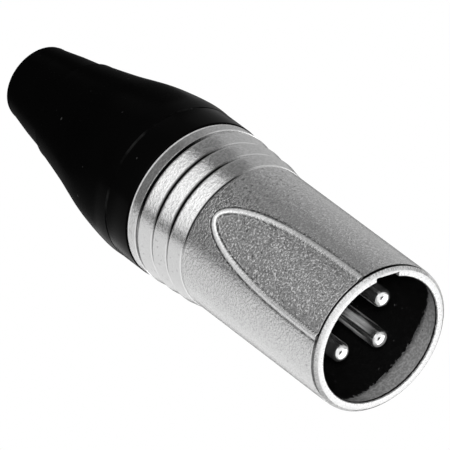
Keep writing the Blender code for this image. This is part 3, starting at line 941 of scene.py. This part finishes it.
def makeInsert():
    c = insert
    face, ring, nose, end = c["face"], c["ring"], c["nose"], c["end"]
    ringFloor = face + c["ringDepth"]
    corners = [(0, face, 0), (ring - c["ringTop"], face, 0.04), (ring - c["ringFloor"], ringFloor, 0.04)]
    corners += [(ring + c["ringFloor"], ringFloor, 0.04), (ring + c["ringTop"], face, 0.04)]
    corners += [(nose - c["noseEdge"], face, 0.08), (nose, face + c["noseEdge"], 0.08)]
    corners += [(nose, c["flangeStart"], 0.03), (c["flange"], c["flangeStart"], 0.08)]
    corners += [(c["flange"], c["flangeEnd"], 0.1), (c["waist"], c["flangeEnd"], 0.1)]
    corners += [(c["waist"], end, 0.15), (0, end, 0)]
    body = turnPiece("insertDisc", roundCorners(corners), c["steps"], blackPlastic)
    pocket = end - c["pocket"]
    bore = [(0.0, end + 1), (c["cupBore"], end + 1), (c["cupBore"], pocket)]
    bore += [(c["pinBore"], pocket), (c["pinBore"], face - 1), (0.0, face - 1)]
    for x, y in pins["places"].values():
        cutter = turnPiece("bore", bore, c["boreSteps"], blackPlastic)
        moveTo(cutter, x, y)
        cutAway(body, cutter)
    finishMesh(body, blackPlastic)
    standFor(body, "housing", "insert")


def makePin(name, x, y):  # round tip, shaft, shoulder and a solder cup open on its outer side
    c = pins
    radius, cup, cupEnd, cupFloor = c["radius"], c["cup"], c["cupEnd"], c["cupFloor"]
    tip = [(0.0, c["tip"])]
    for i in range(1, c["domeRows"]):
        angle = math.radians(90 * i / c["domeRows"])
        rise = c["dome"] * (1 - math.cos(angle) ** 0.9)
        tip.append((radius * math.sin(angle) ** 0.75, c["tip"] + rise))
    corners = [(radius, c["tip"] + c["dome"], 0), (radius, c["neck"], 0.04), (cup, c["neck"], 0.08)]
    corners += [(cup, cupEnd, 0.1), (c["cupBore"], cupEnd, 0.06), (c["cupBore"], cupFloor, 0.2)]
    corners += [(0, cupFloor, 0)]
    pin = turnPiece(name + "Contact", tip + roundCorners(corners), c["steps"], brightContact)
    size = (cup * 2, cup * 4, 2 * (cupEnd - cupFloor - c["cupWall"]))
    turn = math.degrees(math.atan2(y, x))
    cutAway(pin, addBlock("opening", size, (cup * 1.25, 0, cupEnd), turn, 0.1))
    moveTo(pin, x, y)
    finishMesh(pin, brightContact)
    paint(pin, "paintedLightAndWear", lambda co: c["paintedLightAndWear"][name])
    standFor(pin, "housing", name)


makeInsert()
for pinName, (pinX, pinY) in pins["places"].items():
    makePin(pinName, pinX, pinY)
print("insert and contacts made")

# Bushing: threaded spigot, collar and tapered neck

bushing = {
    "spigot": 8.6,
    "spigotStart": 30.75,
    "spigotEdge": 0.25,
    "bore": 7.45,
    "collar": 10.35,
    "collarStart": 35.83,
    "collarEnd": 39.9,
    "neck": 8.55,
    "neckTip": 6.5,
    "neckEnd": 5.2,
    "grooveStart": 41.9,
    "grooveEnd": 43.9,
    "groove": 8.2,
    "taperStart": 45.9,
    "cone": 40.0,
    "coneTip": 51.0,
    "coneStep": 0.25,
    "coneTipBore": 5.4,
    "end": 56.0,
    "cable": 4.1,
    "pitch": 1.0,
    "threadDepth": 0.45,
    "threadSetback": 0.35,  # from the collar
    "undercut": 0.3,
    "rowSpacing": 0.08,
    "steps": 144,
    "sharp": 50,
}


def makeBushing():
    c = bushing
    spigot, collar, neck, bore, cable = (c[key] for key in ("spigot", "collar", "neck", "bore", "cable"))
    start, collarStart, end = c["spigotStart"], c["collarStart"], c["end"]
    low, high = start + c["spigotEdge"], collarStart - c["threadSetback"]
    reliefStart, step = collarStart - c["undercut"], c["coneTip"] + c["coneStep"]
    corners = [(bore, start, 0.1), (spigot - c["spigotEdge"], start, 0.03)]
    corners += [(spigot, low, 0), (spigot, high, 0)]
    corners += [(spigot - c["undercut"], reliefStart, 0), (spigot - c["undercut"], collarStart, 0.05)]
    corners += [(collar - 0.1, collarStart, 0.05), (collar, collarStart + 0.12, 0.05)]
    corners += [(collar, c["collarEnd"], 0.09), (neck, c["collarEnd"], 0.05)]
    corners += [(neck, c["grooveStart"], 0.05), (c["groove"], c["grooveStart"], 0.05)]
    corners += [(c["groove"], c["grooveEnd"], 0.05), (neck, c["grooveEnd"], 0.05)]
    corners += [(neck, c["taperStart"], 0.5), (c["neckTip"], c["coneTip"], 0.5), (c["neckEnd"], end, 0.1)]
    corners += [(cable, end, 0.15), (cable, step, 0.05), (c["coneTipBore"], step, 0.05)]
    corners += [(c["coneTipBore"], c["coneTip"], 0.1), (bore, c["cone"], 0.1)]
    points = addRows(roundCorners(corners), low, reliefStart, c["rowSpacing"])
    body = turnPiece("bushingNut", points, c["steps"], blackPlastic, c["sharp"])
    for vertex in body.data.vertices:  # the thread winds round the spigot, shallower at its start
        co = vertex.co / mm
        radius = radiusAt(co)
        if radius > spigot - 0.01 and low <= co.z <= high:
            turn = (co.z / c["pitch"] - math.atan2(co.y, co.x) / math.tau) % 1.0
            cut = c["threadDepth"] * min(1, max(0, 1.25 - 2.5 * abs(turn - 0.5)))
            cut *= smoothStep(co.z, low, low + 0.3) * 0.4 + 0.6
            vertex.co.xy = vertex.co.xy * ((radius - cut) / radius)
    finishMesh(body, blackPlastic, c["sharp"])
    standFor(body, "back_nut", "bushing")
    print("bushing made:", len(body.data.polygons), "faces")


makeBushing()

# Boot: soft sleeve over the neck

boot = {
    "front": 39.97,
    "length": 27.98,
    # radius, mm behind the front
    "knots": [(10.35, 0), (10.35, 2.7), (9.5, 8.06), (7.95, 13.9), (6.72, 19.2)],
    "curveSteps": 9,
    "frontEdge": 0.12,
    "stepSetback": 8.6,  # from the cable end
    "stepRadii": (6.74, 6.50),
    "waist": (5.75, 4.3),  # radius, mm before the cable end
    "endRadius": 4.95,
    "cable": 4.1,
    "gap": 0.2,  # to the bushing's neck
    "play": 0.25,  # along it
    "steps": 128,
    "sharp": 35,
}


def smoothCurve(knots, steps):
    points = []
    for i in range(len(knots) - 1):
        four = [knots[max(i - 1, 0)], knots[i], knots[i + 1], knots[min(i + 2, len(knots) - 1)]]
        for step in range(steps):
            t = step / steps
            point = []
            for a, b, c, d in zip(*four):
                curve = (2 * a - 5 * b + 4 * c - d) * t**2 + (3 * b - a - 3 * c + d) * t**3
                point.append(b + 0.5 * ((c - a) * t + curve))
            points.append(tuple(point))
    return points + [tuple(knots[-1])]


def makeBoot():
    c, n = boot, bushing
    front, end, play = c["front"], c["front"] + c["length"], c["play"]
    neck, groove, cable = n["neck"] + c["gap"], n["groove"] + c["gap"], c["cable"]
    neckEnd, neckTip = n["neckEnd"] + c["gap"], n["neckTip"] + c["gap"]
    beadStart, beadEnd = n["grooveStart"] + play, n["grooveEnd"] - play
    shoulder, edge = c["knots"][0][0], c["frontEdge"]
    step, (before, after), (waist, waistSetback) = end - c["stepSetback"], c["stepRadii"], c["waist"]
    outer = smoothCurve([(r, front + s) for r, s in c["knots"]], c["curveSteps"])
    corners = [(neck, front, 0), (shoulder - edge, front, 0), (shoulder, front + edge, 0)]
    corners += [(r, z, 0) for r, z in outer[1:-1]]
    corners += [(before, step - 0.02, 0.05), (after, step + 0.04, 0.04), (waist, end - waistSetback, 3.0)]
    corners += [(c["endRadius"] + 0.08, end - 0.9, 0.3), (c["endRadius"], end, 0.42)]
    corners += [(cable, end, 0.18), (cable, n["end"] + play, 0.1), (neckEnd, n["end"] + play, 0.1)]
    corners += [(neckTip, n["coneTip"], 0), (neck, n["taperStart"], 0)]
    corners += [(neck, beadEnd, 0), (groove, beadEnd, 0), (groove, beadStart, 0), (neck, beadStart, 0)]
    body = turnPiece("bootSleeve", roundCorners(corners), c["steps"], blackRubber, c["sharp"])
    standFor(body, "back_nut", "boot")


makeBoot()
print("boot made")

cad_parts["chuck"].data.materials.clear()
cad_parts["chuck"].data.materials.append(blackPlastic)
